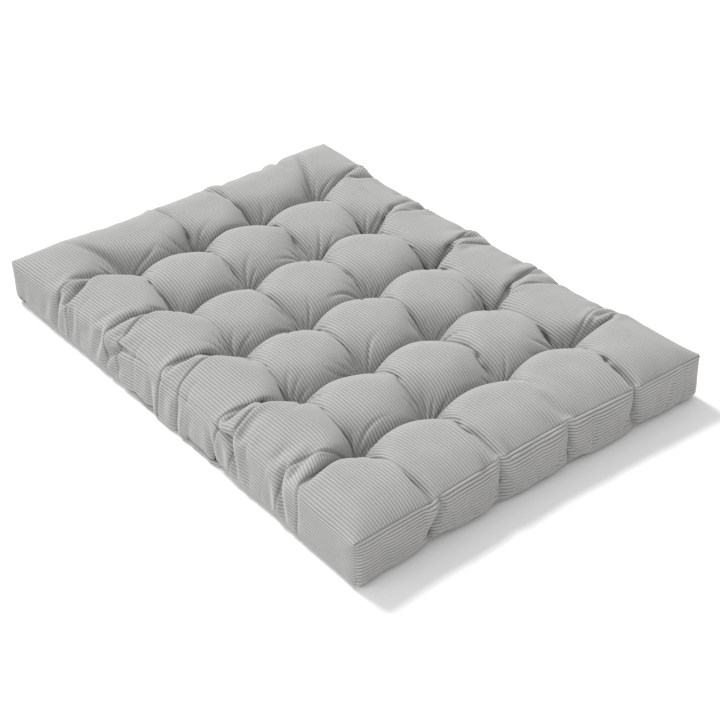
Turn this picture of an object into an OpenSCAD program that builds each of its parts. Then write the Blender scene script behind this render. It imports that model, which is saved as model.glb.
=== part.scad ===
// Tufted futon mattress in wide-wale corduroy.
// Millimetres, +Z up, with the origin on the floor under the middle of the pad.
// X runs across the pad and Y along it. The front short end faces -Y.

/* [Pad] */
// Width between the corner seams, along X
pad_w = 800; // [700:10:900]
// Length between the corner seams, along Y
pad_l = 1140; // [1000:10:1250]
// Height of the top face along the perimeter
rim_h = 93; // [86:1:98]
// Height of the pillow crowns above the floor
crown_h = 118; // [112:1:130]
// How far the long sides are drawn in, midway between the corners
side_draw = 18; // [10:1:25]
// How far the short ends are drawn in, midway between the corners
end_draw = 8; // [5:1:12]

/* [Tufting] */
// Tufts across the width
tuft_cols = 4; // [3:1:4]
// Tufts along the length
tuft_rows = 5; // [4:1:5]
// Height of the upper tuft seats above the floor
seat_top_h = 50; // [48:1:54]
// Height of the lower tuft seats above the floor
seat_under_h = 18; // [16:1:20]
// Depth of the stitches that pinch the short ends
tie_depth = 30; // [20:1:40]

/* [Materials] */
// Thickness of the corduroy, pile included
cloth_t = 2.5; // [2:0.5:3]
// Height of the underside of the foam core
core_low = 26; // [25:1:27]
// Height of the upper side of the foam core
core_high = 42; // [41:1:44]
// Diameter of the tufting twine
twine_d = 2; // [1.5:0.5:2.5]
// Width of the seam thread
thread_d = 1; // [0.8:0.1:1.2]

/* [Hidden] */

cloth_colour = [0.66, 0.66, 0.65];
thread_colour = [0.58, 0.58, 0.57];
twine_colour = [0.74, 0.74, 0.72];
wadding_colour = [0.95, 0.95, 0.92];
foam_colour = [0.93, 0.90, 0.78];

// The tufts and the pads between them stand on an even grid.
cell_w = pad_w / (tuft_cols + 1);
cell_l = pad_l / (tuft_rows + 1);
half_diagonal = norm([cell_w, cell_l]) / 2;
tuft_xs = [for (i = [1:tuft_cols]) i * cell_w - pad_w / 2];
tuft_ys = [for (j = [1:tuft_rows]) j * cell_l - pad_l / 2];
cell_xs = [for (i = [0:tuft_cols]) (i + 0.5) * cell_w - pad_w / 2];
cell_ys = [for (j = [0:tuft_rows]) (j + 0.5) * cell_l - pad_l / 2];

// A tuft's seat is a flat disc sunk below the cusp where four pillows would meet.
seat_r = 9;
cusp_rise = 4;

// Each pillow is a sphere cap from the crown down to the cusps.
cap_drop = crown_h - seat_top_h - cusp_rise;
cap_r = (half_diagonal ^ 2 + cap_drop ^ 2) / (2 * cap_drop);
cap_z = crown_h - cap_r;

// Below, each cap is pressed flat by the floor in a disc that reaches past the cell's sides.
flat_r = cell_l / 2 + 8;
cusp_h = seat_under_h + cusp_rise;
base_z = (cusp_h ^ 2 + half_diagonal ^ 2 - flat_r ^ 2) / (2 * cusp_h);
base_r = norm([base_z, flat_r]);

// Along the perimeter a rim stays level between the pillows. The end borders stand under it.
rim_w = 34;
seam_h = rim_h - cloth_t;

// Pinches in the perimeter, at the end of each row and column of tufts
tie_groove_r = 7;
pleat_groove_r = 5;

// The twine's loops and knots
mid_h = (core_low + core_high) / 2;
strand_gap = 6;
bar_over = 0.5;
knot_r = 5;

// The threads lie in the middle of the border's thickness.
thread_inset = (cloth_t - thread_d) / 2;

clear = 0.05;
slack = 1;
mitre = 40;

// How far a side is drawn in at a distance from its middle.
function drawn_in(side, draw, along) = draw * (1 - (2 * along / side) ^ 2);
function side_x(y) = pad_w / 2 - drawn_in(pad_l, side_draw, y);
function end_y(x) = pad_l / 2 - drawn_in(pad_w, end_draw, x);

// One long side upwards and one short end leftwards, which turned about the middle give the rest.
function side_points(inset) = [for (y = [inset - pad_l / 2, each tuft_ys, pad_l / 2 - inset])
    [side_x(y) - inset, y]];
function end_points(inset) = [for (x = tuft_xs) [-x, end_y(x) - inset]];
function half_points(inset) = concat(side_points(inset), end_points(inset));

// Plan of the pad, moved in from its outer face by inset.
module plan(inset) {
    half = half_points(inset);
    difference() {
        polygon(concat(half, -1 * half));
        for (s = [-1, 1], x = tuft_xs)
            translate([x, s * end_y(x)]) circle(tie_groove_r + inset, $fn = 48);
        for (s = [-1, 1], y = tuft_ys)
            translate([s * side_x(y), y]) circle(pleat_groove_r + inset, $fn = 48);
    }
}

module at_tufts() {
    for (x = tuft_xs, y = tuft_ys)
        translate([x, y, 0]) children();
}

// Children point inwards from the pinch in each short end, along Z turned to face the pad's middle.
module at_edge_ties() {
    for (s = [-1, 1], x = tuft_xs)
        translate([x, s * (end_y(x) - tie_groove_r), mid_h])
            rotate([s * 90, 0, 0]) rotate(90) children();
}

// The level ring along the perimeter, moved in from both its faces by inset.
module rim(inset, low, high) {
    translate([0, 0, low]) linear_extrude(high - low) difference() {
        plan(inset);
        square([pad_w, pad_l] - 2 * (rim_w - inset) * [1, 1], center = true);
    }
}

// All the cells' columns between two heights, each cut off by its own ball.
module pillows(low, high, ball_z, ball_r) {
    for (x = cell_xs, y = cell_ys) intersection() {
        translate([x - cell_w / 2, y - cell_l / 2, low]) cube([cell_w, cell_l, high - low]);
        translate([x, y, ball_z]) sphere(ball_r, $fn = 128);
    }
}

// What lies above low and at least inset below the outside of the cover.
module upper_fill(inset, low) {
    difference() {
        union() {
            intersection() {
                translate([0, 0, low]) linear_extrude(crown_h) plan(inset);
                pillows(low, crown_h + slack, cap_z, cap_r - inset);
            }
            rim(inset, low, rim_h - inset);
        }
        at_tufts() translate([0, 0, seat_top_h - inset])
            cylinder(r = seat_r + inset, h = crown_h, $fn = 48);
    }
}

// What lies below high and at least inset inside the outside of the cover.
module lower_fill(inset, high) {
    difference() {
        union() {
            intersection() {
                translate([0, 0, inset]) linear_extrude(high - inset) plan(inset);
                pillows(inset, high, base_z, base_r - inset);
            }
            rim(inset, inset, high);
        }
        at_tufts() translate([0, 0, -slack])
            cylinder(r = seat_r + inset, h = seat_under_h + inset + slack, $fn = 48);
    }
}

module tuft_holes() {
    at_tufts() for (s = [-1, 1])
        translate([s * strand_gap / 2, 0, -slack])
            cylinder(d = twine_d + 2 * clear, h = crown_h + 2 * slack, $fn = 24);
}

module tie_holes() {
    at_edge_ties() for (s = [-1, 1])
        translate([s * strand_gap / 2, 0, -slack])
            cylinder(d = twine_d + 2 * clear, h = tie_depth + slack, $fn = 24);
}

// A band of the border's thickness, cloth or thread, between two heights.
module band(inset, width, low, high) {
    translate([0, 0, low]) linear_extrude(high - low) difference() {
        plan(inset);
        plan(inset + width);
    }
}

// What lies along one short end, up to the mitres through its corners.
module end_wedge(side) {
    out = slack;
    outer = [pad_w / 2 + out, pad_l / 2 + out];
    inner = outer - mitre * [1, 1];
    linear_extrude(crown_h) scale([1, side])
        polygon([[-outer.x, outer.y], outer, inner, [-inner.x, inner.y]]);
}

// The side walls' room between two heights, a little wider to both sides.
module wall_room(low, high) {
    band(-slack, cloth_t + 2 * slack, low, high);
}

// What the seam threads and ties take out of the walls.
module wall_cuts() {
    band(thread_inset, thread_d, cloth_t - slack, cloth_t + thread_d);
    corner_seam_threads();
    tie_holes();
}

// A strip between the main cover's top and the bottom panel, closing one short end.
module end_border(side) {
    color(cloth_colour) difference() {
        intersection() {
            band(0, cloth_t, cloth_t, seam_h);
            end_wedge(side);
        }
        band(thread_inset, thread_d, seam_h - thread_d, seam_h + slack);
        wall_cuts();
    }
}

module twine(length) cylinder(d = twine_d, h = length, $fn = 24);

// One cloth over the top and down both long sides.
module main_cover() {
    color(cloth_colour) difference() {
        upper_fill(0, cloth_t);
        upper_fill(cloth_t, cloth_t - slack);
        for (side = [-1, 1]) intersection() {
            wall_room(cloth_t - slack, seam_h);
            end_wedge(side);
        }
        wall_cuts();
        tuft_holes();
    }
}

module bottom_panel() {
    color(cloth_colour) difference() {
        lower_fill(0, mid_h);
        lower_fill(cloth_t, mid_h + slack);
        wall_room(cloth_t, mid_h + 2 * slack);
        tuft_holes();
    }
}

module front_border() end_border(-1);

module back_border() end_border(1);

// One thread along the top of each end border.
module top_seam_threads() {
    color(thread_colour) for (side = [-1, 1]) intersection() {
        band(thread_inset, thread_d, seam_h - thread_d, seam_h);
        end_wedge(side);
    }
}

module bottom_seam_thread() {
    color(thread_colour) band(thread_inset, thread_d, cloth_t, cloth_t + thread_d);
}

// Four threads that stand in the mitred corners, between the threads above and below.
module corner_seam_threads() {
    middle = [pad_w, pad_l] / 2 - cloth_t / 2 * [1, 1];
    low = cloth_t + thread_d;
    color(thread_colour) for (sx = [-1, 1], sy = [-1, 1])
        translate([sx * middle.x, sy * middle.y, low])
            cylinder(d = thread_d, h = seam_h - thread_d - low, $fn = 24);
}

module upper_wadding() {
    color(wadding_colour) difference() {
        upper_fill(cloth_t, core_high);
        tuft_holes();
    }
}

module foam_core() {
    color(foam_colour) difference() {
        translate([0, 0, core_low]) linear_extrude(core_high - core_low) plan(cloth_t);
        tuft_holes();
        tie_holes();
    }
}

module lower_wadding() {
    color(wadding_colour) difference() {
        lower_fill(cloth_t, core_low);
        tuft_holes();
    }
}

// Each tuft is a loop of twine, bridged on the upper seat and knotted under the lower one.
module tuft_twines() {
    knot_h = seat_under_h - knot_r - clear;
    bar_h = seat_top_h + twine_d / 2 + clear;
    bar_l = strand_gap + twine_d + 2 * bar_over;
    color(twine_colour) at_tufts() {
        translate([0, 0, knot_h]) rotate(45) sphere(knot_r, $fn = 48);
        for (s = [-1, 1])
            translate([s * strand_gap / 2, 0, knot_h]) twine(bar_h - knot_h);
        translate([-bar_l / 2, 0, bar_h]) rotate([0, 90, 0]) twine(bar_l);
    }
}

// Each edge tie is a closed stitch through the border and into the core.
module edge_ties() {
    bar_l = strand_gap + twine_d + 2 * bar_over;
    outer = -twine_d / 2 - clear;
    inner = tie_depth - twine_d / 2 - clear;
    color(twine_colour) at_edge_ties() {
        for (s = [-1, 1])
            translate([s * strand_gap / 2, 0, outer]) twine(inner - outer);
        for (z = [outer, inner])
            translate([-bar_l / 2, 0, z]) rotate([0, 90, 0]) twine(bar_l);
    }
}

main_cover();
bottom_panel();
front_border();
back_border();
top_seam_threads();
bottom_seam_thread();
corner_seam_threads();
upper_wadding();
foam_core();
lower_wadding();
tuft_twines();
edge_ties();
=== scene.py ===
import math

import bpy
import numpy as np
from mathutils import Matrix, Vector


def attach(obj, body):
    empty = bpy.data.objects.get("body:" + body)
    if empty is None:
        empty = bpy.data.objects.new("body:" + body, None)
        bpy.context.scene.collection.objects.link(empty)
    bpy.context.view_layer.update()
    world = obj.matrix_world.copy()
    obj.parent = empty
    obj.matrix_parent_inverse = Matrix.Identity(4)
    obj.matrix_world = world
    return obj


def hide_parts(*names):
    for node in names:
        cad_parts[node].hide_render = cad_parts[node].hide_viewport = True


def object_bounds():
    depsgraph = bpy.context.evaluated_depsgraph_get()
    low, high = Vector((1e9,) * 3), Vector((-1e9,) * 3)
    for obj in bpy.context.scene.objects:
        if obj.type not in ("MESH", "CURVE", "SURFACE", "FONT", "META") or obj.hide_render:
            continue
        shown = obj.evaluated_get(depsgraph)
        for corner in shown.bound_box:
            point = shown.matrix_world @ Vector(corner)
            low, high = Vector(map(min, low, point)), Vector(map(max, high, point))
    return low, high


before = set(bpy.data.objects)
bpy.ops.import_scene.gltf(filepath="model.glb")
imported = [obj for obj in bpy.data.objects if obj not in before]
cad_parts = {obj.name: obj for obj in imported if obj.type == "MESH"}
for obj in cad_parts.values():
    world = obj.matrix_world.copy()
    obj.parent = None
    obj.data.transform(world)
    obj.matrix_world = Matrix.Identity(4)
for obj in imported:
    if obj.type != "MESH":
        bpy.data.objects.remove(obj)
frame_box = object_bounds()

# ---------------------------------------------------------------- the pad, in metres
WIDTH, LENGTH = (round(frame_box[1][k] - frame_box[0][k], 3) for k in (0, 1))
COLS, ROWS = 5, 6              # pillows across and along
SEAM_Z = 0.090                 # height of the upper end seams
SEAM_H = 0.103                 # cloth of an end border, from seam to seam
SIDE_H = 0.118                 # cloth from the lower seam up a long side
CROWN_H = 0.121                # height to which a pillow may rise
SEAT_H, UNDER_H = 0.050, 0.016  # where the twine holds the upper and the lower cloth
SIDE_DRAW, END_DRAW = 0.018, 0.006  # how far the middles of the long and short sides are drawn in
OUT = 0.005                    # how far the cloth may stand out past the seams
RIB, RIB_H = 0.0063, 0.0019    # pitch and height of the corduroy's ribs
CLOTH_T = 0.0025
THREAD_R = 0.0006              # sewing thread
TWINE_R, KNOT_R = 0.0010, 0.0028
TIE_R, TIE_KNOT_R = 0.0007, 0.0018
CORE_LOW, CORE_HIGH = 0.026, 0.042  # lower and upper face of the foam

# ---------------------------------------------------------------- the cloth's cut and its hold
F = np.float32
# Cells of cloth across a pillow, along it and up a wall.
M, N, NB = ((26, 31, 16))
NX, NY = COLS * M, ROWS * N
STEPS = 170
ROUNDS = 8                     # rounds over the threads in each step
PUSH, PUSH_END = 4e-4, 1e-4    # push of the filling in the first and the last step
SHEAR, GIVE, BEND = 0.2, 0.5, 0.004  # how firmly the cloth answers to shear, to squeezing and to sharp bends
KEEP = 0.9                     # share of its motion that the cloth keeps from step to step
SOFT_STOP = 0.006              # from here to its outline the cloth is pushed less, and past it, back

# Cloth let in, as a share of the finished size: in inner and outer pillows, most on a tuft line, at the edge.
LET_IN_X = 0.13, 0.10, 0.10, 0.05
LET_IN_Y = 0.19, 0.12, 0.17, 0.04
BASE_CUT = 1.04                # size of the bottom panel's cloth over its place

FILL_VARIES, LUMPS = 0.18, 0.25  # by pillow and within one, as shares of the push
BORDER_LUMPS, BORDER_LEAST = 0.8, 0.4  # unevenness behind a border, and the least share of the push there
CROWN_VARIES = 0.004           # in the height of the pillows
EDGE_UP, EDGE_RISE = 0.003, 0.07  # rise allowed at the pad's edge, and the distance from there to full height
TUFTS_WANDER = 0.004           # spread of the tufts about their lines
TUFT_GATHER = 0.45             # cloth next to a tuft is gathered to this share of its size
CURL = 0.012                   # the foot curls in by this much over this height
DRAW_FOOT, DRAW_FULL = 0.05, 0.08  # share of the sides' draw-in at the floor, and the height where it is full
FLOOR_Z, FOOT_Z = 0.0024, 0.007  # lowest point of any cloth, and highest point of a lower seam
ROW_GAP = 0.0012               # pillows keep this far from the line between two rows
CORNER_R = F(0.014)            # upright corners are rounded to this
CORNER_AT = np.array([WIDTH / 2 + OUT, LENGTH / 2 + OUT], F) - CORNER_R

# Edge ties: depth, then the part of the border's height that they draw in, counted from the top.
TIES = (0.0085, 0.0, 0.65), (0.0030, 0.3, 0.65)  # front and back
LOOSE_TIE = 0.0060, 0.6, 0.8   # the front tie nearest the left corner

# Widths of the lines along which the cloth is drawn in, and their strengths, as shares of the push.
CREASE_W, TUCK_W = 0.005, 0.004
ROW_CREASE = 1.1               # from tuft to tuft in a row
PLEAT_TOP, PLEAT_WALL = 0.7, 0.9  # over the top and down the wall
END_CREASES = (0.40, 1.3), (0.24, 0.1)  # front and back: from tuft to edge, and close to the edge
END_CREASE_RUN = 0.045         # length of the part close to the edge
TUCKS, TUCK = 6, 1.8           # short tucks round a tuft, and their greatest strength

RAYS = 15                      # directions in which a tuft gathers the cloth
RIB_ROUND = 2.2                # 2 is a parabola, more is fuller
# Depth and reach of a cloth's edge where it tucks into a seam, and where it rolls over one.
TUCK_IN, ROLL = (0.0007, 0.0018), (0.0005, 0.0013)

rng = np.random.default_rng(3)


# ---------------------------------------------------------------- fields over the cloth
def ease(t):
    """0 to 1, level at both ends."""
    return t * t * (3 - 2 * t)


def near_line(u, v, a, b, width):
    """1 on the line a-b, falling to 0 over width."""
    ax, ay = b[0] - a[0], b[1] - a[1]
    t = np.clip(((u - a[0]) * ax + (v - a[1]) * ay) / (ax * ax + ay * ay), 0, 1)
    return np.exp(-((u - a[0] - t * ax) ** 2 + (v - a[1] - t * ay) ** 2) / width ** 2)


def soft_noise(shape, step):
    """Smooth random field with bumps about step points wide."""
    g = rng.normal(0, 1, (shape[0] // step + 3, shape[1] // step + 3))
    x = np.linspace(1, g.shape[0] - 2, shape[0])
    y = np.linspace(1, g.shape[1] - 2, shape[1])
    i = np.minimum(x.astype(int), g.shape[0] - 2)
    j = np.minimum(y.astype(int), g.shape[1] - 2)
    fx, fy = ease((x - i)[:, None]), ease((y - j)[None])
    a, b, c, d = g[i][:, j], g[i + 1][:, j], g[i][:, j + 1], g[i + 1][:, j + 1]
    return a * (1 - fx) * (1 - fy) + b * fx * (1 - fy) + c * (1 - fx) * fy + d * fx * fy


def tuft_xy(c, r):
    """Place of a tuft, or of a crossing of the tuft lines with the edge."""
    return WIDTH * (c / COLS - 0.5), LENGTH * (r / ROWS - 0.5)


def between_tufts(count, per):
    """0 on the inner tuft lines, 1 half way between them and in the outer half cells."""
    t = np.arange(count * per + 1) / per
    w = np.abs(np.sin(np.pi * t)) ** 0.7
    w[(t < 0.5) | (t > count - 0.5)] = 1
    return w


def from_ends(count, per):
    """0 at both ends of a row of pillows, 1 from the first tuft line inwards."""
    t = np.arange(count * per + 1) / per
    return np.clip(np.minimum(t, count - t), 0, 1)


def let_in(shares, count, per, across, per_across):
    """Share of cloth let in along each thread of one way: a row per cell, a column per thread."""
    inner, outer, on_line, at_edge = shares
    e = np.full(count, inner)
    e[[0, -1]] = outer
    e = np.repeat(e, per)[:, None]
    w = between_tufts(across, per_across)
    e = np.minimum(e, on_line) * (1 - w) + e * w
    return at_edge + (e - at_edge) * from_ends(across, per_across)


def cloth_lengths():
    """Rest lengths of the threads: more cloth in the pillows than along the lines that join the tufts."""
    du = WIDTH / NX * (1 + let_in(LET_IN_X, COLS, M, ROWS, N))
    dv = LENGTH / NY * (1 + let_in(LET_IN_Y, ROWS, N, COLS, M).T.copy())
    height = SEAM_H + (SIDE_H - SEAM_H) * ease(from_ends(ROWS, N))
    wall = np.repeat(height[None] / NB, NB, 0)
    main = np.concatenate([wall, du, wall]), np.pad(dv, ((NB, NB), (0, 0)), mode="edge")
    base = np.full((NX, NY + 1), WIDTH / NX * BASE_CUT), np.full((NX + 1, NY), LENGTH / NY * BASE_CUT)
    end = np.repeat(du[:, :1], NB + 1, 1), np.full((NX + 1, NB), SEAM_H / NB)
    return [tuple(a.astype(F) for a in pair) for pair in (main, base, end, end)]


def side_pleats():
    """Start, edge, foot and strength of the pleats over the long sides.

    A pair starts from each outer tuft, and a shorter pleat stands near by.
    """
    local = np.random.default_rng(17)
    off_edge, run_in = 0.004, 0.03
    found = []
    for r in range(1, ROWS):
        for c, e in ((1, -1), (COLS - 1, 1)):
            x, y = tuft_xy(c, r)
            foot_x = e * (WIDTH / 2 + SIDE_H)
            for q in (-1, 1):
                start = x + e * run_in, y + q * 0.005
                edge = e * (WIDTH / 2 - off_edge), y + q * local.uniform(0.020, 0.036)
                foot = foot_x, edge[1] + q * local.uniform(-0.004, 0.012)
                found.append((start, edge, foot, local.uniform(0.7, 1.1)))
            q = local.choice((-1, 1)) * local.uniform(0.050, 0.080)
            edge = e * (WIDTH / 2 + off_edge), y + q
            start = edge[0] - e * run_in, y + 0.94 * q
            foot = foot_x, y + q * local.uniform(0.9, 1.15)
            found.append((start, edge, foot, local.uniform(0.3, 0.7)))
    return found


PLEATS = side_pleats()


def crease_field(s, v):
    """How strongly creases draw the cloth in; s and v are metres of cloth from the middle of the pad."""
    dip = np.zeros_like(s)

    def crease(strength, a, b, width=CREASE_W):
        np.maximum(dip, strength * near_line(s, v, a, b, width), out=dip)

    for r in range(1, ROWS):
        for c in range(1, COLS - 1):
            crease(ROW_CREASE * rng.uniform(0.8, 1.2), tuft_xy(c, r), tuft_xy(c + 1, r))
    for start, edge, foot, k in PLEATS:
        crease(PLEAT_TOP * k, start, edge)
        crease(PLEAT_WALL * k, edge, foot)
    for c in range(1, COLS):
        for r, e, (run, last) in ((1, -1, END_CREASES[0]), (ROWS - 1, 1, END_CREASES[1])):
            x, y = tuft_xy(c, r)
            edge = x, e * LENGTH / 2
            crease(run, (x, y), edge)
            crease(last * rng.uniform(0.8, 1.2), (x, e * (LENGTH / 2 - END_CREASE_RUN)), edge)
        for r in range(1, ROWS):
            x, y = tuft_xy(c, r)
            for q in range(TUCKS):
                a = math.pi * (2 * q / TUCKS + 0.5) + rng.normal(0, 0.25)
                far = rng.uniform(0.025, 0.055)
                end = x + far * math.cos(a), y + far * math.sin(a)
                crease(TUCK * rng.uniform(0.2, 1), (x, y), end, TUCK_W)
    return dip


def filling(s, v):
    """How hard the filling pushes at each point of the main cover, and how high it may push it."""
    fill = 1 + FILL_VARIES * rng.uniform(-1, 1, (COLS, ROWS))
    ci = np.clip((np.arange(NX + 2 * NB + 1) - NB) // M, 0, COLS - 1)
    cj = np.clip(np.arange(NY + 1) // N, 0, ROWS - 1)
    amount = fill[ci][:, cj] * (1 + LUMPS * soft_noise(s.shape, max(2, M // 6))) - crease_field(s, v)
    crown = (CROWN_H + CROWN_VARIES * rng.uniform(-1, 1, (COLS, ROWS)))[ci][:, cj]
    rise = np.minimum(1 - np.clip(1 - (WIDTH / 2 - np.abs(s)) / EDGE_RISE, 0, 1) ** 2,
                      1 - np.clip(1 - (LENGTH / 2 - np.abs(v)) / EDGE_RISE, 0, 1) ** 2)
    cap = SEAM_Z + EDGE_UP + (crown - SEAM_Z - EDGE_UP) * np.clip(rise, 0, 1)
    return amount, cap


# ---------------------------------------------------------------- cloth
def pull(a, b, rest, stretch, squeeze):
    """Moves two views of one grid so that each pair of points nears its own length of cloth."""
    d = b - a
    e = 1 - rest / np.sqrt(np.einsum("...i,...i", d, d))
    d *= (0.5 * np.where(e > 0, F(stretch), F(squeeze)) * e)[..., None]
    a += d
    b -= d


def stretch_grid(x, du, dv):
    """One round over the threads of a grid, both ways and across."""
    nu, nv = x.shape[0] - 1, x.shape[1] - 1
    dg = np.hypot(du[:, :-1] / 2 + du[:, 1:] / 2, dv[:-1] / 2 + dv[1:] / 2)
    for p in (0, 1):
        k = (nu + 1 - p) // 2
        a, b = x[p:p + 2 * k:2], x[p + 1:p + 1 + 2 * k:2]
        pull(a, b, du[p:p + 2 * k:2], 1, GIVE)
        g = dg[p:p + 2 * k:2]
        pull(a[:, :-1], b[:, 1:], g, SHEAR, SHEAR / 2)
        pull(a[:, 1:], b[:, :-1], g, SHEAR, SHEAR / 2)
        k = (nv + 1 - p) // 2
        pull(x[:, p:p + 2 * k:2], x[:, p + 1:p + 1 + 2 * k:2], dv[:, p:p + 2 * k:2], 1, GIVE)


def stiffen(x):
    """Evens out sharp bends along both ways of a grid."""
    for axis in (0, 1):
        y = np.moveaxis(x, axis, 0)
        c = np.zeros_like(y)
        c[1:-1] = y[2:] - 2 * y[1:-1] + y[:-2]
        y[1:-1] -= F(BEND) * (c[2:] - 2 * c[1:-1] + c[:-2])


def start_box():
    """A flat-sided box of cloth: the main cover with its side walls, the bottom panel and the two borders."""
    low, rough = 0.004, 0.0004
    u = np.linspace(-WIDTH / 2, WIDTH / 2, NX + 1)
    v = np.linspace(-LENGTH / 2, LENGTH / 2, NY + 1)
    f = np.linspace(0, 1, NB + 1)
    main = np.zeros((NX + 2 * NB + 1, NY + 1, 3), F)
    main[:NB + 1, :, 0], main[NB + NX:, :, 0] = -WIDTH / 2, WIDTH / 2
    main[:NB + 1, :, 2] = (low + (SEAM_Z - low) * f)[:, None]
    main[NB + NX:, :, 2] = (low + (SEAM_Z - low) * f[::-1])[:, None]
    main[NB:NB + NX + 1, :, 0] = u[:, None]
    main[NB:NB + NX + 1, :, 2] = SEAM_Z
    main[..., 1] = v
    main[NB + 1:NB + NX, 1:-1, 2] += rng.normal(0, rough, (NX - 1, NY - 1))
    base = np.zeros((NX + 1, NY + 1, 3), F)
    base[..., 0], base[..., 1], base[..., 2] = u[:, None], v, low
    ends = np.zeros((2, NX + 1, NB + 1, 3), F)
    for e in (0, 1):
        ends[e, ..., 0], ends[e, ..., 1] = u[:, None], (2 * e - 1) * LENGTH / 2
        ends[e, ..., 2] = SEAM_Z + (low - SEAM_Z) * f
    return main, base, ends


def join(a, b):
    """Brings two rows of points together half way."""
    c = (a + b) / 2
    a[...] = c
    b[...] = c


def sew(main, base, ends):
    """Brings the edges that share a seam together."""
    join(base[0], main[0])
    join(base[NX], main[-1])
    for e, row in ((0, 0), (1, NY)):
        join(ends[e, :, 0], main[NB:NB + NX + 1, row])
        join(ends[e, :, NB], base[:, row])
        join(ends[e, 0], main[NB::-1, row])
        join(ends[e, NX], main[NB + NX:, row])
        ends[e, 0, 0], ends[e, NX, 0] = main[NB, row], main[NB + NX, row]


def twine_pins(main, base):
    """Each tuft and the four points round it, on both cloths, with the places where the twine puts them."""
    nudge = rng.normal(0, TUFTS_WANDER, (COLS + 1, ROWS + 1, 2))
    pins = []
    for g, first, z in ((main, NB, SEAT_H), (base, 0, UNDER_H)):
        i, j, at = [], [], []
        for c in range(1, COLS):
            for r in range(1, ROWS):
                x, y = np.array(tuft_xy(c, r)) + nudge[c, r]
                for di, dj in ((0, 0), (1, 0), (-1, 0), (0, 1), (0, -1)):
                    i.append(first + c * M + di)
                    j.append(r * N + dj)
                    at.append((x + TUFT_GATHER * di * WIDTH / NX, y + TUFT_GATHER * dj * LENGTH / NY, z))
        pins.append((g, i, j, np.array(at, F), g[i, j].copy()))
    return pins


def tie_hooks(ends):
    """Points of the borders that the ties draw in, each with its y."""
    hooks = []
    for c in range(1, COLS):
        for e in (0, 1):
            depth, first, last = LOOSE_TIE if (c, e) == (1, 0) else TIES[e]
            y = (2 * e - 1) * (LENGTH / 2 - END_DRAW - depth)
            hooks += [(ends[e], c * M, k, y) for k in range(int(NB * first), int(NB * last) + 1)]
    return hooks


def under_curl(x):
    """How far the foot of the pad is drawn in under it."""
    return CURL * np.clip(1 - x[..., 2] / CURL, 0, 1) ** 2


def swell(x, per, amount, cap):
    """Push of the filling, which has its own outline and its own height, less the pull of the creases."""
    f = np.cross(np.gradient(x, axis=0), np.gradient(x, axis=1)) * F(per)
    drawn = f * np.minimum(amount, 0)[..., None].astype(F)
    low = under_curl(x)
    high = DRAW_FOOT + (1 - DRAW_FOOT) * np.clip(x[..., 2] / DRAW_FULL, 0, 1)
    side = WIDTH / 2 + OUT - SIDE_DRAW * high * (1 - (2 * x[..., 1] / LENGTH) ** 2) - low
    end = LENGTH / 2 + OUT - END_DRAW * high * (1 - (2 * x[..., 0] / WIDTH) ** 2) - low
    for a, room in ((0, side - np.abs(x[..., 0])), (1, end - np.abs(x[..., 1]))):
        outward = f[..., a] * np.sign(x[..., a]) > 0
        f[..., a] *= np.where(outward, np.clip(room / SOFT_STOP, -1, 1), 1)
    f[..., 2] *= np.where(f[..., 2] > 0, np.clip((cap - x[..., 2]) / SOFT_STOP, -1, 1), 1)
    return f * np.maximum(amount, 0)[..., None].astype(F) + drawn


def hold(main, base, ends, pins, hooks, t):
    """Keeps the cloth, by the share t, to its twines and ties, and off the floor, in its outline and rows."""
    for g, i, j, at, was in pins:
        g[i, j] = was * (1 - t) + at * t
    for g, i, j, y in hooks:
        g[i, j, 1] += t * (y - g[i, j, 1])
    for g in (main, base, ends):
        np.maximum(g[..., 2], F(FLOOR_Z), out=g[..., 2])
    for g in (main[0], main[-1], ends[:, :, NB]):
        np.minimum(g[..., 2], F(FOOT_Z), out=g[..., 2])
    for g in (main[:NB], main[-NB:], ends):
        low = under_curl(g)
        for a, most in ((0, WIDTH / 2 + OUT - low), (1, LENGTH / 2 + OUT - low)):
            g[..., a] = np.clip(g[..., a], -most, most)
    for g in (main[:M], main[-M:], ends):
        over = np.maximum(np.abs(g[..., :2]) - CORNER_AT, 0)
        far = np.sqrt((over ** 2).sum(-1, keepdims=True))
        back = over * (1 - CORNER_R / np.maximum(far, CORNER_R)) * (over.min(-1, keepdims=True) > 0)
        g[..., :2] -= np.sign(g[..., :2]) * back
    for r in range(1, ROWS):
        y = LENGTH * (r / ROWS - 0.5)
        before, after = main[:, (r - 1) * N + 1:r * N, 1], main[:, r * N + 1:(r + 1) * N, 1]
        np.minimum(before, F(y - ROW_GAP), out=before)
        np.maximum(after, F(y + ROW_GAP), out=after)


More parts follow.
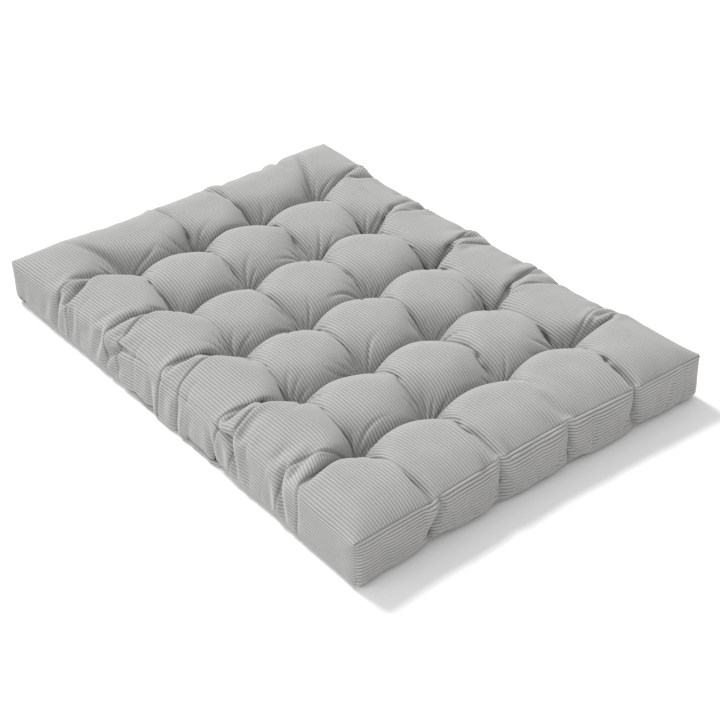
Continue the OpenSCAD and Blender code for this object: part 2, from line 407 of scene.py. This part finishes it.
def relax():
    """Fills and tufts the cover.

    The filling pushes, the threads keep their length, and the twines and ties hold their points.
    """
    main, base, ends = start_box()
    grids = main, base, ends[0], ends[1]
    lengths = cloth_lengths()
    pins = twine_pins(main, base)
    hooks = tie_hooks(ends)

    wall = np.linspace(WIDTH / 2, WIDTH / 2 + SIDE_H, NB + 1)[1:]
    s = np.r_[-wall[::-1], np.linspace(-WIDTH / 2, WIDTH / 2, NX + 1), wall]
    s, v = np.meshgrid(s, np.linspace(-LENGTH / 2, LENGTH / 2, NY + 1), indexing="ij")
    amount, cap = filling(s, v)
    step_size = max(3, M // 6)
    lumps = [soft_noise((NX + 1, NB + 1), step_size) for e in (0, 1)]
    front, back = (np.maximum(BORDER_LEAST, 1 + BORDER_LUMPS * q) for q in lumps)
    cell, end_cell = (WIDTH / NX) * (LENGTH / NY), (WIDTH / NX) * (SEAM_H / NB)
    jobs = ((main, 1 / cell, amount, cap), (base, -1 / cell, np.ones((1, 1)), 1.0),
            (ends[0], -1 / end_cell, front, SEAM_Z), (ends[1], 1 / end_cell, back, SEAM_Z))

    olds = [g.copy() for g in grids]
    for step in range(STEPS):
        t = F(ease(min(1.0, (step + 1) / (0.3 * STEPS))))
        push = F(PUSH * (PUSH_END / PUSH) ** (step / STEPS))
        for (g, per, amount, cap), old in zip(jobs, olds):
            new = g + (g - old) * F(KEEP) + push * swell(g, per, amount, cap)
            old[...] = g
            g[...] = new
        for k in range(ROUNDS):
            for g, (du, dv) in zip(grids, lengths):
                stretch_grid(g, du, dv)
                stiffen(g)
            sew(main, base, ends)
            hold(main, base, ends, pins, hooks, t)
    return main.astype(float), base.astype(float), ends.astype(float), lengths


# ---------------------------------------------------------------- meshes
def resample(x, at, axis):
    """Smooth values of a grid at fractional places along one axis."""
    x = np.moveaxis(x, axis, 0)
    x = np.concatenate([2 * x[:1] - x[1:2], x, 2 * x[-1:] - x[-2:-1]])
    i = np.clip(at.astype(int), 0, len(x) - 4)
    t = (at - i).reshape((-1,) + (1,) * (x.ndim - 1))
    a, b, c, d = x[i], x[i + 1], x[i + 2], x[i + 3]
    y = b + 0.5 * t * (c - a + t * (2 * a - 5 * b + 4 * c - d + t * (3 * (b - c) + d - a)))
    return np.moveaxis(y, 0, axis)


def dense(path, step):
    """A path with its points about step apart."""
    d = np.r_[0, np.cumsum(np.linalg.norm(np.diff(path, axis=0), axis=1))]
    at = np.interp(np.arange(0, d[-1], step), d, np.arange(len(path)))
    return resample(path, at, 0)


def unit(v):
    return v / np.maximum(np.linalg.norm(v, axis=-1, keepdims=True), 1e-12)


def grid_normals(x, sign):
    return sign * unit(np.cross(np.gradient(x, axis=0), np.gradient(x, axis=1)))


def grid_quads(nu, nv, first=0):
    a = np.arange(nu * nv).reshape(nu, nv) + first
    return np.stack([a[:-1, :-1], a[1:, :-1], a[1:, 1:], a[:-1, 1:]], -1).reshape(-1, 4)


def around(a):
    """The edge of a grid, once round."""
    return np.concatenate([a[:-1, 0], a[-1, :-1], a[:0:-1, -1], a[0, :0:-1]])


def make_mesh(name, points, quads, tris=(), uv=None):
    me = bpy.data.meshes.new(name)
    tris = np.asarray(tris, int).reshape(-1, 3)
    loops = np.concatenate([quads.ravel(), tris.ravel()]).astype(np.int32)
    starts = np.r_[np.arange(len(quads)) * 4, len(quads) * 4 + np.arange(len(tris)) * 3].astype(np.int32)
    me.vertices.add(len(points))
    me.vertices.foreach_set("co", np.asarray(points, F).ravel())
    me.loops.add(len(loops))
    me.loops.foreach_set("vertex_index", loops)
    me.polygons.add(len(starts))
    me.polygons.foreach_set("loop_start", starts)
    if uv is not None:
        me.uv_layers.new(name="cloth").data.foreach_set("uv", np.asarray(uv, F)[loops].ravel())
    me.update(calc_edges=True)
    me.validate()
    me.shade_smooth()
    ob = bpy.data.objects.new(name, me)
    bpy.context.scene.collection.objects.link(ob)
    return ob


def fan(outer, inner, outer_at, inner_at):
    """Triangles between two rows of points, each with its own places from 0 to 1."""
    tris, i, j = [], 0, 0
    while i < len(outer) - 1 or j < len(inner) - 1:
        if j == len(inner) - 1 or (i < len(outer) - 1 and outer_at[i + 1] <= inner_at[j + 1]):
            tris.append((outer[i + 1], outer[i], inner[j]))
            i += 1
        else:
            tris.append((outer[i], inner[j], inner[j + 1]))
            j += 1
    return tris


def places(total, pitch, lines=0):
    """Distances along the cloth, closer together near both ends and near the lines between equal parts."""
    near_end, closest = np.array([0.0009, 0.002, 0.0035]), 0.0004
    near_line_to, near_line_step = 0.045, 0.0018
    near = np.arange(-near_line_to, near_line_to + 0.0001, near_line_step)
    count = max(2, int(round(total / pitch)))
    d = [np.linspace(0, total, count + 1), near_end, total - near_end]
    d += [total * k / lines + near for k in range(1, lines)]
    d = np.unique(np.concatenate(d).round(6))
    return d[np.r_[True, np.diff(d) > closest]]


def no_creases(u, v):
    return 0


def tuft_creases(u, v):
    """Fine creases over the upper cloth, as depths.

    Gathers fan out from the tufts, folds join the tufts of a row, and pleats run over the long sides.
    """
    local = np.random.default_rng(21)
    edges_x = -WIDTH / 2 - SIDE_H, -WIDTH / 2, WIDTH / 2, WIDTH / 2 + SIDE_H
    u = np.interp(u, (0, NB, NB + NX, NX + 2 * NB), edges_x)
    v = LENGTH * (v / NY - 0.5)
    gather, pleat, pleat_w, fold_w = 0.0060, 0.0052, 0.0027, 0.0028
    ray_w, ray_spread = 0.0024, 0.02
    pitch, farthest = WIDTH / COLS, 0.11
    deep = np.zeros((len(u), len(v)))

    def window(x, y, dx, dy):
        return slice(*np.searchsorted(u, (x - dx, x + dx))), slice(*np.searchsorted(v, (y - dy, y + dy)))

    def gathers(x, y):
        i, j = window(x, y, farthest, farthest)
        dx, dy = u[i, None] - x, v[None, j] - y
        reach = np.hypot(dx, dy)
        # Each ray bends to and fro on its way out.
        swirl = local.uniform(-0.02, 0.02) + 0.03 * np.sin(reach / 0.028 + local.uniform(0, 6.3))
        turn = (np.arctan2(dy, dx) / (2 * math.pi) + swirl) * RAYS
        k = np.floor(turn).astype(int) % RAYS
        f = turn - np.floor(turn)
        # A ray's place in its sector, its length and its depth.
        ranges = (0.35, 0.65), (0.03, 0.10), (0.1, 1)
        at, size, depth = (local.uniform(*q, RAYS)[k] for q in ranges)
        off = np.abs(f - at) * (2 * math.pi / RAYS) * reach
        line = np.exp(-(off / (ray_w + ray_spread * reach)) ** 2) * np.sin(np.pi * f)
        ring = np.clip(2.2 * (1 - reach / size), 0, 1) * np.clip((reach - 0.006) / 0.012, 0, 1)
        deep[i, j] += gather * depth * line * ring

    def row_fold(x, y):
        i, j = window(x + pitch / 2, y, pitch / 2, 0.015)
        bow = local.uniform(-0.004, 0.004)
        line = near_line(u[i, None], v[None, j] - bow, (x + 0.02, y), (x + pitch - 0.02, y), fold_w)
        deep[i, j] += local.uniform(0.0015, 0.0050) * line

    for c in range(1, COLS):
        for r in range(1, ROWS):
            gathers(*tuft_xy(c, r))
            if c < COLS - 1:
                row_fold(*tuft_xy(c, r))
    for start, edge, foot, k in PLEATS:
        i, j = window((start[0] + foot[0]) / 2, edge[1], abs(foot[0] - start[0]) / 2 + 0.01, 0.06)
        line = np.maximum(near_line(u[i, None], v[None, j], start, edge, pleat_w),
                          near_line(u[i, None], v[None, j], edge, foot, pleat_w))
        deep[i, j] = np.maximum(deep[i, j], pleat * k * line)
    return deep


def border_creases(u, v):
    """Soft folds and small dents over an end border, as depths."""
    local = np.random.default_rng(31 + len(u))
    dents, tie_fold, tie_fold_w = 26, 0.003, 0.004
    u = (WIDTH * (u / NX - 0.5))[:, None]
    v = (SEAM_H * v / NB)[None]
    deep = np.zeros((u.shape[0], v.shape[1]))
    for q in range(dents):
        x, top = local.uniform(-WIDTH / 2, WIDTH / 2), local.uniform(0.005, 0.05)
        far = local.uniform(0.025, 0.05)
        foot = x + local.uniform(-0.014, 0.014), top + far
        line = near_line(u, v, (x, top), foot, local.uniform(0.004, 0.009))
        deep = np.maximum(deep, local.uniform(0.0012, 0.0034) * line)
    for c in range(1, COLS):
        x = tuft_xy(c, 0)[0]
        for q in (-1, 1):
            start = x, local.uniform(0.035, 0.06)
            stop = x + q * local.uniform(0.02, 0.045), local.uniform(0.06, 0.085)
            deep = np.maximum(deep, tie_fold * near_line(u, v, start, stop, tie_fold_w))
    return deep


def drift(local, shape, size, step=0.030):
    """Smooth random field over cloth of the given size, with bumps about step metres wide."""
    n = [max(4, int(q / step)) for q in size]
    g = local.normal(0, 1, n)
    for k in (0, 1):
        g = resample(g, np.linspace(0, n[k] - 1.1, shape[k]), k)
    return g


def edge_strips(a, b, a_at, b_at):
    """Triangles between the edges of two grids, all the way round."""
    tris = fan(a[:, 0], b[:, 0], a_at[0], b_at[0])
    tris += fan(a[-1], b[-1], a_at[1], b_at[1])
    tris += fan(a[::-1, -1], b[::-1, -1], 1 - a_at[0][::-1], 1 - b_at[0][::-1])
    tris += fan(a[0, ::-1], b[0, ::-1], 1 - a_at[1][::-1], 1 - b_at[1][::-1])
    return np.array(tris)


def cloth_piece(name, grid, sign, lengths, rib_axis, fine, coarse, edges, seed, creases=no_creases, lines=0):
    """A closed piece of corduroy, ribbed outside and plain inside.

    rib_axis is the way in which the ribs are counted, fine the steps in each rib, coarse the step the
    other way, and edges the depth and reach of the edges across each way.
    """
    wander, uneven, corner_lift, corner_reach, settled = 0.0009, 0.16, 0.0014, 0.006, 0.02
    cell = [q.mean(1 - k).astype(float) for k, q in enumerate(lengths)]
    size = [q.sum() for q in cell]
    along = [np.r_[0, np.cumsum(q)] for q in cell]
    count = int(round(size[rib_axis] / RIB))
    at = [places(size[0], coarse), places(size[1], coarse, lines)]
    at[rib_axis] = np.linspace(0, size[rib_axis], count * fine + 1)
    pos = [np.interp(at[k], along[k], np.arange(len(along[k]))) for k in (0, 1)]
    from_edge = [np.minimum(at[k], size[k] - at[k]) for k in (0, 1)]
    rib_shape = (-1, 1) if rib_axis == 0 else (1, -1)

    x = resample(resample(grid, pos[0], 0), pos[1], 1)
    nrm = grid_normals(x, sign)
    local = np.random.default_rng(seed)
    inside = np.clip(from_edge[rib_axis] / settled, 0, 1).reshape(rib_shape)
    sideways = unit(np.gradient(x, axis=rib_axis))
    x = x + sideways * (wander * drift(local, x.shape, size) * inside)[..., None]

    phase = np.arange(count * fine + 1) / fine
    ridge = 1 - np.abs(2 * (phase % 1) - 1) ** RIB_ROUND
    ridge[[0, -1]] = 0
    wobble = np.clip(1 + uneven * drift(local, x.shape, size), 0.6, 1.35)
    lift = RIB_H * ridge.reshape(rib_shape) * wobble - creases(pos[0], pos[1])
    d0, d1 = from_edge[0][:, None], from_edge[1][None]
    (deep0, reach0), (deep1, reach1) = edges
    lift = lift - np.maximum(deep0 * np.exp(-(d0 / reach0) ** 2), deep1 * np.exp(-(d1 / reach1) ** 2))
    lift = lift + corner_lift * np.exp(-(d0 / corner_reach) ** 2 - (d1 / corner_reach) ** 2)
    outer = x + nrm * lift[..., None]

    nrm = grid_normals(grid, sign)
    inner = grid - nrm * CLOTH_T
    inner[[0, -1]] -= nrm[[0, -1]] * deep0
    inner[:, [0, -1]] -= nrm[:, [0, -1]] * deep1

    n_out, n_in = outer.shape[:2], inner.shape[:2]
    first = n_out[0] * n_out[1]
    q_out, q_in = grid_quads(*n_out), grid_quads(*n_in, first)[:, ::-1]
    a = np.arange(first).reshape(n_out)
    b = np.arange(n_in[0] * n_in[1]).reshape(n_in) + first
    shares = ([q[k] / size[k] for k in (0, 1)] for q in (at, along))
    tris = edge_strips(a, b, *shares)
    if sign < 0:
        q_out, q_in, tris = q_out[:, ::-1], q_in[:, ::-1], tris[:, ::-1]
    points = np.concatenate([outer.reshape(-1, 3), inner.reshape(-1, 3)])
    uv = [np.stack(np.meshgrid(*q, indexing="ij"), -1).reshape(-1, 2) for q in (at, along)]
    uv = np.concatenate(uv)
    if rib_axis == 1:
        uv = uv[:, ::-1]
    uv[:, 0] *= count * RIB / size[rib_axis]
    return make_mesh(name, points, np.concatenate([q_out, q_in]), tris, uv)


def tube(path, radius, sides=6, closed=False):
    """Points and faces of a round thread along a path."""
    path = np.asarray(path, float)
    ahead = np.roll(path, -1, 0) - np.roll(path, 1, 0)
    if not closed:
        ahead[0], ahead[-1] = path[1] - path[0], path[-1] - path[-2]
    t = unit(ahead)
    ref = np.where(np.abs(t[:, 2:3]) > 0.8, [[1.0, 0, 0]], [[0, 0, 1.0]])
    a = unit(np.cross(t, ref))
    b = np.cross(t, a)
    w = np.linspace(0, 2 * np.pi, sides, endpoint=False)
    circle = np.cos(w)[None, :, None] * a[:, None] + np.sin(w)[None, :, None] * b[:, None]
    points = (path[:, None] + radius * circle).reshape(-1, 3)
    k = np.arange(len(path) * sides).reshape(len(path), sides)
    nxt = np.roll(k, -1, 1)
    q = np.stack([k[:-1], nxt[:-1], nxt[1:], k[1:]], -1).reshape(-1, 4)
    if closed:
        return points, np.concatenate([q, np.stack([k[-1], nxt[-1], nxt[0], k[0]], -1)]), ()
    c = len(points)
    tips = path[[0]] - t[[0]] * radius * 0.5, path[[-1]] + t[[-1]] * radius * 0.5
    tris = [(nxt[0, i], k[0, i], c) for i in range(sides)]
    tris += [(k[-1, i], nxt[-1, i], c + 1) for i in range(sides)]
    return np.concatenate([points, *tips]), q, tris


def ball(centre, radius, rings=6, sides=10):
    """Points and faces of a knot."""
    th = np.linspace(0, np.pi, rings + 1)[1:-1, None]
    w = np.linspace(0, 2 * np.pi, sides, endpoint=False)
    height = np.repeat(np.cos(th), sides, 1)
    p = np.stack([np.sin(th) * np.cos(w), np.sin(th) * np.sin(w), height], -1)
    k = np.arange((rings - 1) * sides).reshape(rings - 1, sides)
    nxt = np.roll(k, -1, 1)
    q = np.stack([k[:-1], k[1:], nxt[1:], nxt[:-1]], -1).reshape(-1, 4)
    c = k.size
    tris = [(k[0, i], nxt[0, i], c) for i in range(sides)]
    tris += [(nxt[-1, i], k[-1, i], c + 1) for i in range(sides)]
    points = np.concatenate([p.reshape(-1, 3), [[0, 0, 1], [0, 0, -1]]]) * radius + centre
    return points, q, tris


def merge(name, parts):
    """One mesh of several sets of points and faces."""
    points, quads, tris, k = [], [], [], 0
    for p, q, t in parts:
        points.append(p)
        quads.append(q + k)
        tris.append(np.asarray(t, int).reshape(-1, 3) + k)
        k += len(p)
    return make_mesh(name, *(np.concatenate(q) for q in (points, quads, tris)))


def slab(name, upper, lower):
    """A closed solid between two grids of the same size."""
    n = upper.shape[:2]
    first = n[0] * n[1]
    rim_a = around(np.arange(first).reshape(n))
    rim_b = rim_a + first
    wall = np.stack([rim_a, rim_b, np.roll(rim_b, -1), np.roll(rim_a, -1)], -1)
    quads = np.concatenate([grid_quads(*n), grid_quads(*n, first)[:, ::-1], wall])
    points = np.concatenate([upper.reshape(-1, 3), lower.reshape(-1, 3)])
    return make_mesh(name, points, quads, uv=points[:, :2])


# ---------------------------------------------------------------- materials
def material(name, colour, rough, sheen, build):
    m = bpy.data.materials.new(name)
    m.use_nodes = True
    nt = m.node_tree
    bsdf = nt.nodes["Principled BSDF"]
    bsdf.inputs["Base Color"].default_value = (*colour, 1)
    bsdf.inputs["Roughness"].default_value = rough
    bsdf.inputs["Sheen Weight"].default_value = sheen
    bsdf.inputs["Sheen Roughness"].default_value = 0.45
    bsdf.inputs["Specular IOR Level"].default_value = 0.15
    build(nt, bsdf, colour)
    return m


def node(nt, kind, vector=None, **values):
    """A node with the given properties and inputs, read at the given places."""
    n = nt.nodes.new(kind)
    for k, v in values.items():
        if hasattr(n, k):
            setattr(n, k, v)
        else:
            n.inputs[k].default_value = v
    if vector is not None:
        nt.links.new(vector, n.inputs["Vector"])
    return n


def math_node(nt, op, a, b=None):
    n = node(nt, "ShaderNodeMath", operation=op)
    for s, v in enumerate((a, b)):
        if isinstance(v, (int, float)):
            n.inputs[s].default_value = v
        elif v is not None:
            nt.links.new(v, n.inputs[s])
    return n.outputs[0]


def noise(nt, vector, scale, detail=3.0, rough=0.5):
    n = node(nt, "ShaderNodeTexNoise", vector, Scale=scale, Detail=detail, Roughness=rough)
    return n.outputs["Fac"]


def span(nt, value, low, high):
    """A value from 0 to 1, turned into one from low to high."""
    n = node(nt, "ShaderNodeMapRange")
    n.inputs["To Min"].default_value = low
    n.inputs["To Max"].default_value = high
    nt.links.new(value, n.inputs["Value"])
    return n.outputs["Result"]


def tint(nt, bsdf, colour, *factors):
    """The colour, made darker or lighter by each factor."""
    shade = factors[0]
    for f in factors[1:]:
        shade = math_node(nt, "MULTIPLY", shade, f)
    n = node(nt, "ShaderNodeVectorMath", operation="SCALE")
    n.inputs[0].default_value = colour
    nt.links.new(shade, n.inputs["Scale"])
    nt.links.new(n.outputs[0], bsdf.inputs["Base Color"])


def bump(nt, bsdf, height, distance, strength=1.0):
    n = node(nt, "ShaderNodeBump", Distance=distance, Strength=strength)
    nt.links.new(height, n.inputs["Height"])
    nt.links.new(n.outputs[0], bsdf.inputs["Normal"])


def corduroy(dark):
    """Ribs with painted shade in their grooves, as dark as given, and a touch of painted highlight on their
    crests; short pile along them, and patches where it lies another way.
    """
    def build(nt, bsdf, colour):
        uv = node(nt, "ShaderNodeUVMap", uv_map="cloth").outputs[0]
        sep = node(nt, "ShaderNodeSeparateXYZ", uv)
        phase = math_node(nt, "FRACT", math_node(nt, "DIVIDE", sep.outputs[0], RIB))
        off = math_node(nt, "SUBTRACT", math_node(nt, "MULTIPLY", phase, 2.0), 1.0)
        groove = math_node(nt, "POWER", math_node(nt, "ABSOLUTE", off), 5.0)
        stretched = node(nt, "ShaderNodeMapping", uv, Scale=(1, 0.35, 1))
        pile = noise(nt, stretched.outputs[0], 900, 4, 0.6)
        patch = noise(nt, uv, 22, 3, 0.6)
        # The first factor is painted shade and highlight: it darkens the grooves to the given share and
        # lightens the crests a little, standing in for light over the ribs; pile and patches are the cloth's
        # own tone.
        shades = span(nt, groove, 1.03, dark), span(nt, pile, 0.90, 1.10), span(nt, patch, 0.93, 1.07)
        tint(nt, bsdf, colour, *shades)
        nt.links.new(span(nt, pile, 0.78, 1.0), bsdf.inputs["Roughness"])
        height = math_node(nt, "SUBTRACT", pile, math_node(nt, "MULTIPLY", groove, 0.6))
        bump(nt, bsdf, height, 0.0005, 0.7)

    return build


def spun(nt, bsdf, colour):
    """Twisted yarn: fine slanted strands."""
    where = node(nt, "ShaderNodeTexCoord").outputs["Object"]
    wave = node(nt, "ShaderNodeTexWave", where, Scale=260, Distortion=1.5, bands_direction="DIAGONAL")
    strand = wave.outputs["Fac"]
    fuzz = noise(nt, where, 1400, 2)
    tint(nt, bsdf, colour, span(nt, strand, 0.82, 1.08), span(nt, fuzz, 0.9, 1.08))
    nt.links.new(span(nt, fuzz, 0.7, 0.95), bsdf.inputs["Roughness"])
    bump(nt, bsdf, strand, 0.0003)


def fleece(nt, bsdf, colour):
    """Loose fibre: tangled fine noise over soft clumps."""
    where = node(nt, "ShaderNodeTexCoord").outputs["Object"]
    fibre = noise(nt, where, 420, 6, 0.7)
    clump = noise(nt, where, 30, 3)
    tint(nt, bsdf, colour, span(nt, fibre, 0.82, 1.08), span(nt, clump, 0.94, 1.04))
    nt.links.new(span(nt, clump, 0.85, 1.0), bsdf.inputs["Roughness"])
    bump(nt, bsdf, fibre, 0.002)


def cells(nt, bsdf, colour):
    """Open foam: small pores."""
    where = node(nt, "ShaderNodeTexCoord").outputs["Object"]
    pore = node(nt, "ShaderNodeTexVoronoi", where, Scale=500).outputs["Distance"]
    age = noise(nt, where, 9, 3)
    tint(nt, bsdf, colour, span(nt, pore, 0.8, 1.06), span(nt, age, 0.94, 1.04))
    nt.links.new(span(nt, age, 0.8, 0.95), bsdf.inputs["Roughness"])
    bump(nt, bsdf, pore, 0.0008)


def paper(nt, bsdf, colour):
    """Nearly even, with a trace of cloud."""
    where = node(nt, "ShaderNodeTexCoord").outputs["Object"]
    tint(nt, bsdf, colour, span(nt, noise(nt, where, 3, 2), 0.99, 1.01))


# Both corduroys have shade painted into their grooves; the border's copy paints them darker, standing in for
# the shade that light from above throws across its level ribs.
cover_cloth = material("grey corduroy", (0.37, 0.37, 0.36), 0.9, 0.35, corduroy(dark=0.50))
border_cloth = material("grey corduroy, ribs across", (0.415, 0.415, 0.40), 0.9, 0.35, corduroy(dark=0.22))
seam_thread = material("grey sewing thread", (0.30, 0.30, 0.29), 0.8, 0.1, spun)
twine_yarn = material("grey tufting twine", (0.33, 0.33, 0.32), 0.8, 0.1, spun)
wadding = material("white wadding", (0.83, 0.82, 0.79), 0.95, 0.3, fleece)
foam = material("cream foam", (0.80, 0.74, 0.58), 0.9, 0.05, cells)

# ---------------------------------------------------------------- the pieces
main, base, ends, lengths = relax()
top = main[NB:NB + NX + 1]
made = []


def place(ob, mat, slot_name, *cad):
    """Gives a piece its material and its body, and hides the CAD nodes that it stands for."""
    ob.data.materials.append(mat)
    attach(ob, "root")
    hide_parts(*cad)
    made.append(ob)


def add_cloths():
    """The main cover and the bottom panel, with ribs along the pad, and the borders, with ribs across it."""
    cover = cloth_piece("main_cover_cloth", main, 1, lengths[0], rib_axis=0, fine=4, coarse=0.005,
                        edges=(TUCK_IN, ROLL), seed=11, creases=tuft_creases, lines=ROWS)
    place(cover, cover_cloth, "corduroy", "main_cover")
    under = cloth_piece("bottom_panel_cloth", base, -1, lengths[1], rib_axis=0, fine=4, coarse=0.008,
                        edges=(TUCK_IN, TUCK_IN), seed=12)
    place(under, cover_cloth, "corduroy", "bottom_panel")
    for e, side in enumerate(("front", "back")):
        strip = cloth_piece(side + "_border_cloth", ends[e], 2 * e - 1, lengths[2 + e], rib_axis=1, fine=5,
                            coarse=0.003, edges=(TUCK_IN, TUCK_IN), seed=13 + e, creases=border_creases)
        place(strip, border_cloth, "border_corduroy", side + "_border")


def add_threads():
    """Sewing thread along the upper end seams, up the four corners and round the bottom panel."""
    step, sunk, drawn_in = 0.004, [0, 0, 0.0012], [0.9985, 0.999, 1]
    seams = [tube(dense(top[:, r] - sunk, step), THREAD_R) for r in (0, NY)]
    place(merge("top_seam_stitching", seams), seam_thread, "seam_thread", "top_seam_threads")
    uprights = [ends[e, i, 1:NB] * drawn_in for e in (0, 1) for i in (0, NX)]
    corners = [tube(dense(path, step), THREAD_R) for path in uprights]
    place(merge("corner_seam_stitching", corners), seam_thread, "seam_thread", "corner_seam_threads")
    ring = around(base) + sunk
    for k in range(3):
        ring = (np.roll(ring, 1, 0) + 2 * ring + np.roll(ring, -1, 0)) / 4
    stitches = merge("bottom_seam_stitching", [tube(ring, THREAD_R, closed=True)])
    place(stitches, seam_thread, "seam_thread", "bottom_seam_thread")


def levelled(g, reach, pick):
    """A grid with each height taken from the lowest, or highest, point within reach."""
    z = g[..., 2]
    for axis in (0, 1):
        z = pick([np.roll(z, k, axis) for k in range(-reach, reach + 1)], axis=0)
    return at_height(g, z)


def at_height(g, z):
    """A copy of a grid at the given height."""
    g = g.copy()
    g[..., 2] = z
    return g


def add_filling():
    """Upper wadding, foam and lower wadding, on a coarser grid than the cloth and clear of it all round."""
    under_cloth, in_walls, core_in = 0.006, 0.010, 0.004
    least_wadding, core_gap = 0.0005, 0.0002
    reach = max(2, M // 5)
    px, py = (np.unique(np.r_[np.arange(0, n, max(1, per // 8)), n]) for n, per in ((NX, M), (NY, N)))
    sides = np.minimum(*(np.abs(wall[..., 0]).min(0) for wall in (main[:NB + 1], main[NB + NX:])))
    side_x = sides[py] - in_walls
    end_y = np.abs(ends[..., 1]).min((0, 2))[px] - in_walls

    def hold_in(g, more=0.0):
        g = g.copy()
        g[..., 0] = np.clip(g[..., 0], -side_x[None] + more, side_x[None] - more)
        g[..., 1] = np.clip(g[..., 1], -end_y[:, None] + more, end_y[:, None] - more)
        return g

    upper, lower = levelled(top, reach, np.min), levelled(base, reach, np.max)
    upper[..., 2] = np.maximum(upper[..., 2] - under_cloth, CORE_HIGH + least_wadding)
    lower[..., 2] = np.minimum(lower[..., 2] + under_cloth, CORE_LOW - least_wadding)
    upper, lower = hold_in(upper[px][:, py]), hold_in(lower[px][:, py])
    upper_pad = slab("upper_wadding_fill", upper, at_height(upper, CORE_HIGH))
    place(upper_pad, wadding, "wadding", "upper_wadding")
    core = hold_in(upper, core_in)
    faces = (at_height(core, z) for z in (CORE_HIGH - core_gap, CORE_LOW + core_gap))
    place(slab("foam_core_block", *faces), foam, "foam", "foam_core")
    lower_pad = slab("lower_wadding_fill", at_height(lower, CORE_LOW), lower)
    place(lower_pad, wadding, "wadding", "lower_wadding")


def add_twines():
    """At each tuft two strands through the pad, with a knot on each side."""
    beside, below, above = 0.0014, [0, 0, 0.0012], [0, 0, 0.0008]
    strands = []
    for c in range(1, COLS):
        for r in range(1, ROWS):
            high, low = top[c * M, r * N], base[c * M, r * N]
            for off in ([-beside, 0, 0], [beside, 0, 0]):
                strands.append(tube(np.linspace(low + off - below, high + off + above, 8), TWINE_R))
            strands.append(ball(high + [0, 0, 0.0004], KNOT_R))
            strands.append(ball(low - [0, 0, 0.0006], KNOT_R))
    place(merge("tufting_twines", strands), twine_yarn, "tuft_twine", "tuft_twines")


def add_ties():
    """Short upright loops of yarn with a knot, which draw the borders in on the tuft lines."""
    stand, half_high, sway = 0.0022, 0.008, 0.003
    w = np.linspace(-1, 1, 15)
    loops = []
    for e in (0, 1):
        for c in range(1, COLS):
            k = NB * (0.72 if c % 2 else 0.5)
            at = resample(ends[e, c * M], np.array([k]), 0)[0]
            x, y, z = at
            out = (2 * e - 1) * stand
            path = [x + sway * np.sin(3 * w), y + out * (1.1 - 0.9 * w ** 4), z + half_high * w]
            loops.append(tube(np.stack(path, -1), TIE_R))
            loops.append(ball(at + [0, out * 1.2, 0], TIE_KNOT_R))
    place(merge("edge_tie_loops", loops), twine_yarn, "tuft_twine", "edge_ties")


add_cloths()
padded = list(made)
add_threads()
add_filling()
padded += made[-3:]
add_twines()
add_ties()

# ---------------------------------------------------------------- stage
FLOOR_HALF, FLOOR_DROP = 12, 0.0005
corners = [(x * FLOOR_HALF, y * FLOOR_HALF, 0) for x, y in ((-1, -1), (1, -1), (1, 1), (-1, 1))]
floor = make_mesh("floor", corners, np.array([[0, 1, 2, 3]]))
floor.location.z = -FLOOR_DROP
floor.data.materials.append(material("white floor", (0.92, 0.92, 0.92), 0.8, 0, paper))

scene = bpy.context.scene
scene.view_settings.view_transform = "Standard"
world = bpy.data.worlds.new("studio")
scene.world = world
world.use_nodes = True
world.node_tree.nodes["Background"].inputs[0].default_value = (1, 1, 1, 1)
world.node_tree.nodes["Background"].inputs[1].default_value = 0.67


def far_light(name, energy, angle, at):
    """A soft light so far away that it falls evenly."""
    light = bpy.data.lights.new(name, "SUN")
    light.energy, light.angle = energy, angle
    ob = bpy.data.objects.new(name, light)
    scene.collection.objects.link(ob)
    ob.location = at
    ob.rotation_euler = (-ob.location).to_track_quat("-Z", "Y").to_euler()


far_light("key", 2.35, 0.22, (-0.1, 2.4, 2.8))
far_light("fill", 0.9, 1.2, (-3.0, 0.2, 1.6))

camera = bpy.data.cameras.new("camera")
camera.lens, camera.sensor_width = 76.9, 36
eye, look = Vector((-1.4925, -2.0316, 1.7103)), Vector((-0.0392, -0.1237, 0.05))
roll = Matrix.Rotation(math.radians(-1.905), 3, "Z")
cam = bpy.data.objects.new("camera", camera)
scene.collection.objects.link(cam)
turn = (look - eye).to_track_quat("-Z", "Y").to_matrix() @ roll
cam.matrix_world = Matrix.Translation(eye) @ turn.to_4x4()
scene.camera = cam
